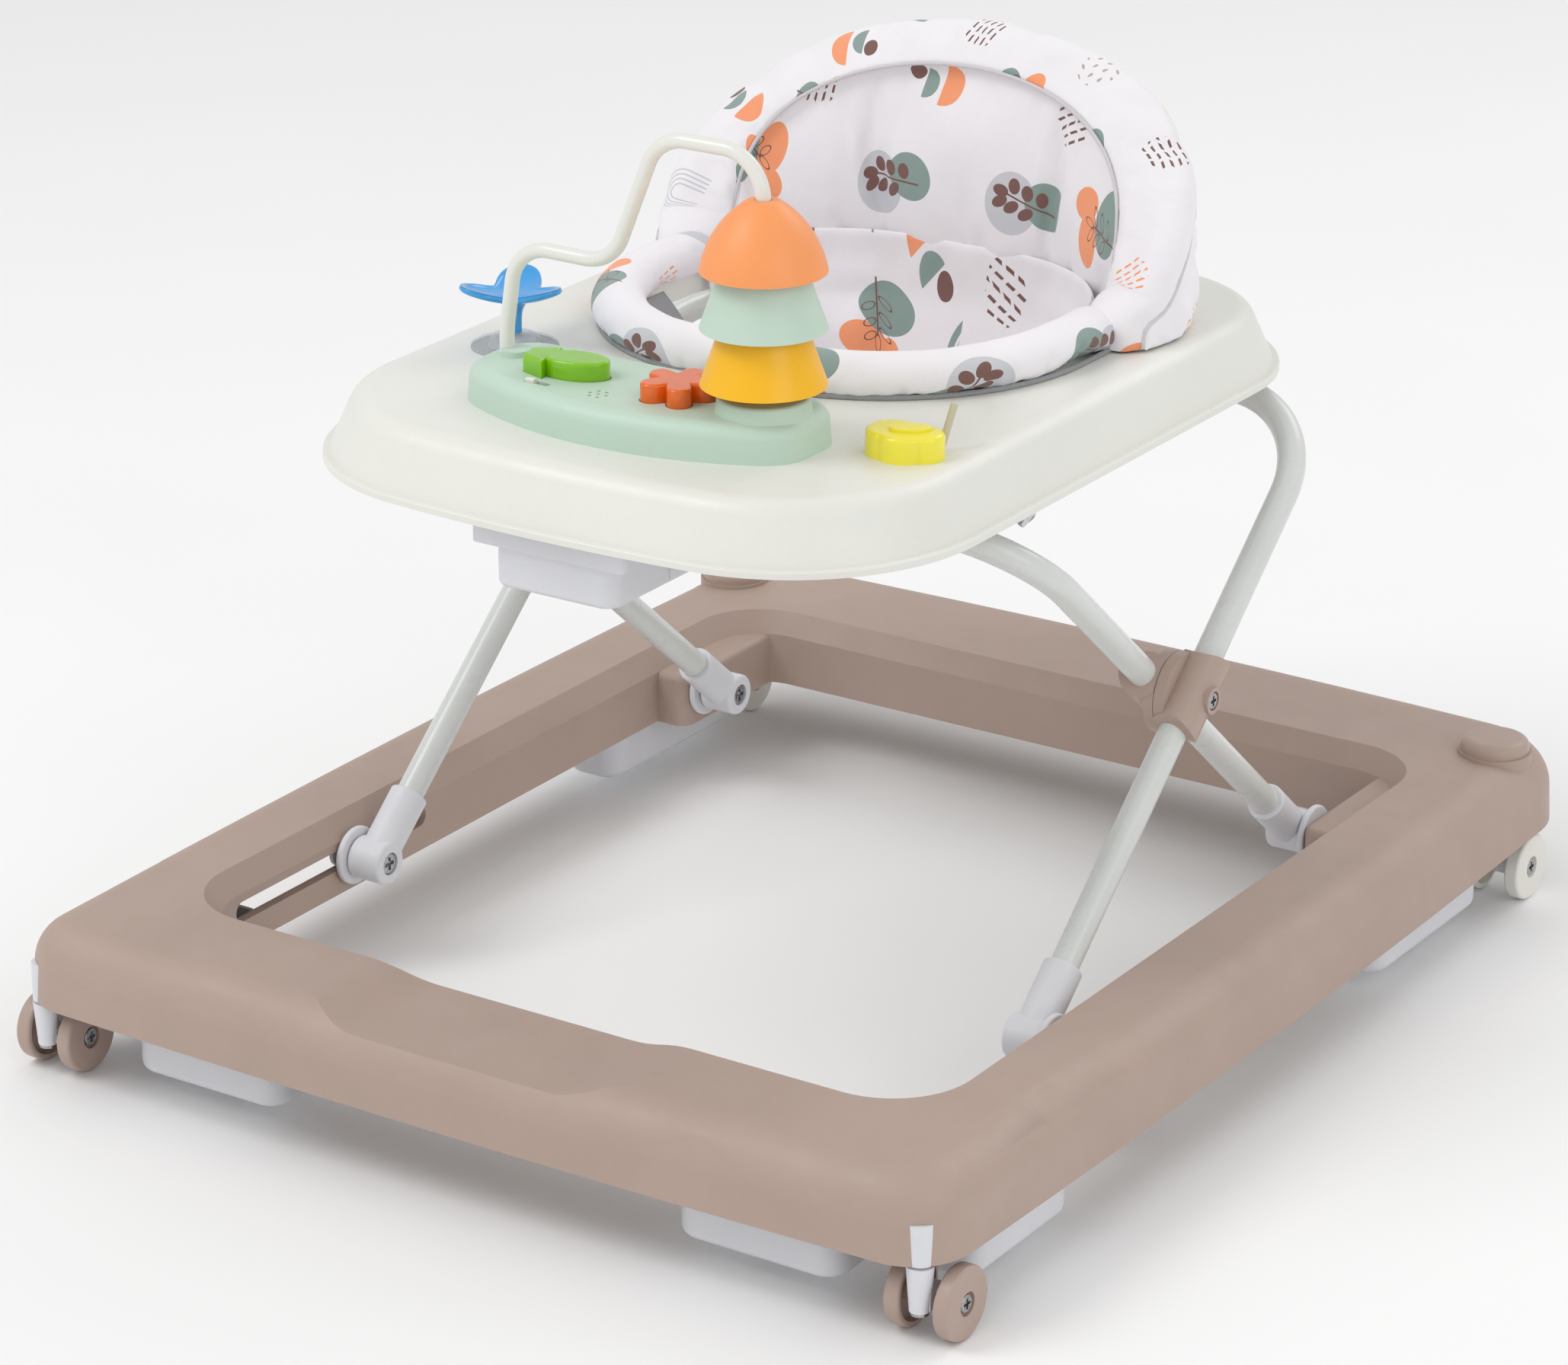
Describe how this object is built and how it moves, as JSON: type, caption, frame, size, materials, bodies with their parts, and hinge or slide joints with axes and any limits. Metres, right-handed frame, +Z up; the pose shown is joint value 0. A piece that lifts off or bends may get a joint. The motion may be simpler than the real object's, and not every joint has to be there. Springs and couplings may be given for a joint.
{
  "type": "baby walker",
  "caption": "Folding baby walker: wheeled ring base, scissor tube frame, tray with toy console, padded sling seat with hooded backrest.",
  "frame": {"origin": "on the floor, in the middle of the base's outline", "axes": "+Z up, -Y towards the front (the toy console), +X to the child's left when seated facing the front"},
  "size_m": [0.602, 0.7348, 0.5359],
  "materials": {
    "taupe_plastic": "fine satin moulded polypropylene",
    "white_plastic": "cool white moulded plastic",
    "tray_plastic": "warm off-white satin plastic",
    "frame_paint": "pale powder-coated steel tube",
    "steel": "zinc plated",
    "seat_fabric": "printed woven polyester, padded",
    "mint_plastic": "satin",
    "yellow_plastic": "satin",
    "orange_plastic": "satin",
    "blue_plastic": "glossy",
    "lemon_plastic": "glossy",
    "beige_plastic": "satin",
    "wire_coat": "smooth plastic-coated rod",
    "green_clear": "translucent tinted plastic",
    "orange_clear": "translucent tinted plastic",
    "clear_plastic": "clear plastic",
    "board_green": "circuit board",
    "cell_wrap": "battery wrap",
    "black_plastic": "speaker cone and frame"
  },
  "bodies": {
    "base": {"base_ring": "taupe_plastic", "slide_tracks": "taupe_plastic", "corner_caps": "taupe_plastic", "rear_pivots": "white_plastic", "front_pads": "white_plastic", "side_front_pads": "white_plastic", "side_rear_pads": "white_plastic", "pad_screws": "steel", "rear_wheel_yokes": "white_plastic", "rear_wheel_pins": "steel", "wheel_sockets": "white_plastic", "rear_pivot_screws": "steel"},
    "rear_legs": {"rear_leg_frame": "frame_paint", "rear_foot_caps": "white_plastic", "inner_saddles": "taupe_plastic"},
    "front_legs": {"front_leg_frame": "frame_paint", "front_foot_caps": "white_plastic", "outer_saddles": "taupe_plastic", "cross_bolts": "steel"},
    "foot_shoes": {"shoes": "white_plastic", "shoe_retainers": "white_plastic", "front_pivot_screws": "steel"},
    "tray": {"tray_shell": "tray_plastic", "bar_brackets": "white_plastic", "bar_clips": "white_plastic", "tray_screws": "steel", "adjuster_housing": "white_plastic", "latch_spring": "steel", "seat_roll": "seat_fabric", "seat_sling": "seat_fabric", "backrest": "seat_fabric", "console_lid": "mint_plastic", "console_base": "mint_plastic", "circuit_board": "board_green", "speaker": "black_plastic", "battery_cells": "cell_wrap", "toy_wire": "wire_coat", "spinner_base": "clear_plastic", "fruit_toy": "lemon_plastic", "fruit_stalk": "beige_plastic"},
    "latch": {"latch_plate": "white_plastic"},
    "switch": {"slide_switch": "white_plastic"},
    "fish_button": {"fish_key": "green_clear"},
    "star_button": {"star_key": "orange_clear"},
    "cone_low": {"cone_yellow": "yellow_plastic"},
    "cone_middle": {"cone_mint": "mint_plastic"},
    "cone_top": {"cone_orange": "orange_plastic"},
    "paddle": {"spinner": "blue_plastic"},
    "caster_right": {"caster_yoke_right": "white_plastic", "caster_pin_right": "steel"},
    "caster_roller_right": {"caster_wheels_right": "taupe_plastic", "caster_axle_right": "steel"},
    "rear_roller_right": {"rear_wheels_right": "white_plastic", "rear_axle_right": "steel"},
    "caster_left": {"caster_yoke_left": "white_plastic", "caster_pin_left": "steel"},
    "caster_roller_left": {"caster_wheels_left": "taupe_plastic", "caster_axle_left": "steel"},
    "rear_roller_left": {"rear_wheels_left": "white_plastic", "rear_axle_left": "steel"}
  },
  "joints": [
    {"name": "fold", "type": "hinge", "parent": "base", "child": "rear_legs", "pos_m": [0, 0.1855, 0.065], "axis": [1, 0, 0], "range_deg": [0, 29]},
    {"name": "scissor", "type": "hinge", "parent": "rear_legs", "child": "front_legs", "pos_m": [0, 0.0225, 0.205], "axis": [1, 0, 0], "range_deg": [-58, 0]},
    {"name": "tray_level", "type": "hinge", "parent": "front_legs", "child": "tray", "pos_m": [0, 0.16739, 0.32945], "axis": [1, 0, 0], "range_deg": [0, 29]},
    {"name": "shoe_level", "type": "hinge", "parent": "front_legs", "child": "foot_shoes", "pos_m": [0, -0.1405, 0.065], "axis": [1, 0, 0], "range_deg": [0, 29]},
    {"name": "caster_swivel_right", "type": "hinge", "parent": "base", "child": "caster_right", "pos_m": [0.28, -0.3515, 0.04], "axis": [0, 0, 1], "continuous": true},
    {"name": "caster_roll_right", "type": "hinge", "parent": "caster_right", "child": "caster_roller_right", "pos_m": [0.28, -0.337, 0.01975], "axis": [1, 0, 0], "continuous": true},
    {"name": "rear_roll_right", "type": "hinge", "parent": "base", "child": "rear_roller_right", "pos_m": [0.273, 0.3075, 0.01975], "axis": [1, 0, 0], "continuous": true},
    {"name": "caster_swivel_left", "type": "hinge", "parent": "base", "child": "caster_left", "pos_m": [-0.28, -0.3515, 0.04], "axis": [0, 0, 1], "continuous": true},
    {"name": "caster_roll_left", "type": "hinge", "parent": "caster_left", "child": "caster_roller_left", "pos_m": [-0.28, -0.337, 0.01975], "axis": [1, 0, 0], "continuous": true},
    {"name": "rear_roll_left", "type": "hinge", "parent": "base", "child": "rear_roller_left", "pos_m": [-0.273, 0.3075, 0.01975], "axis": [1, 0, 0], "continuous": true},
    {"name": "latch_pull", "type": "slide", "parent": "tray", "child": "latch", "axis": [0, -1, 0], "range_m": [0, 0.008], "stiffness_N_per_m": 300, "deforming": ["latch_spring"]},
    {"name": "switch_slide", "type": "slide", "parent": "tray", "child": "switch", "axis": [1, 0, 0], "range_m": [0, 0.006]},
    {"name": "fish_press", "type": "slide", "parent": "tray", "child": "fish_button", "axis": [0, 0, -1], "range_m": [0, 0.003], "stiffness_N_per_m": 400},
    {"name": "star_press", "type": "slide", "parent": "tray", "child": "star_button", "axis": [0, 0, -1], "range_m": [0, 0.003], "stiffness_N_per_m": 400},
    {"name": "paddle_spin", "type": "hinge", "parent": "tray", "child": "paddle", "pos_m": [-0.131, -0.11299, 0.39295], "axis": [0, 0, 1], "continuous": true},
    {"name": "cone_low_spin", "type": "hinge", "parent": "tray", "child": "cone_low", "pos_m": [0.075, -0.17999, 0.43195], "axis": [0, 0, 1], "continuous": true},
    {"name": "cone_middle_spin", "type": "hinge", "parent": "tray", "child": "cone_middle", "pos_m": [0.075, -0.17999, 0.46195], "axis": [0, 0, 1], "continuous": true},
    {"name": "cone_top_spin", "type": "hinge", "parent": "tray", "child": "cone_top", "pos_m": [0.075, -0.17999, 0.49195], "axis": [0, 0, 1], "continuous": true}
  ],
  "couplings": [
    {"joint": "scissor", "follows": "fold", "ratio": -2},
    {"joint": "tray_level", "follows": "fold", "ratio": 1},
    {"joint": "shoe_level", "follows": "fold", "ratio": 1}
  ]
}
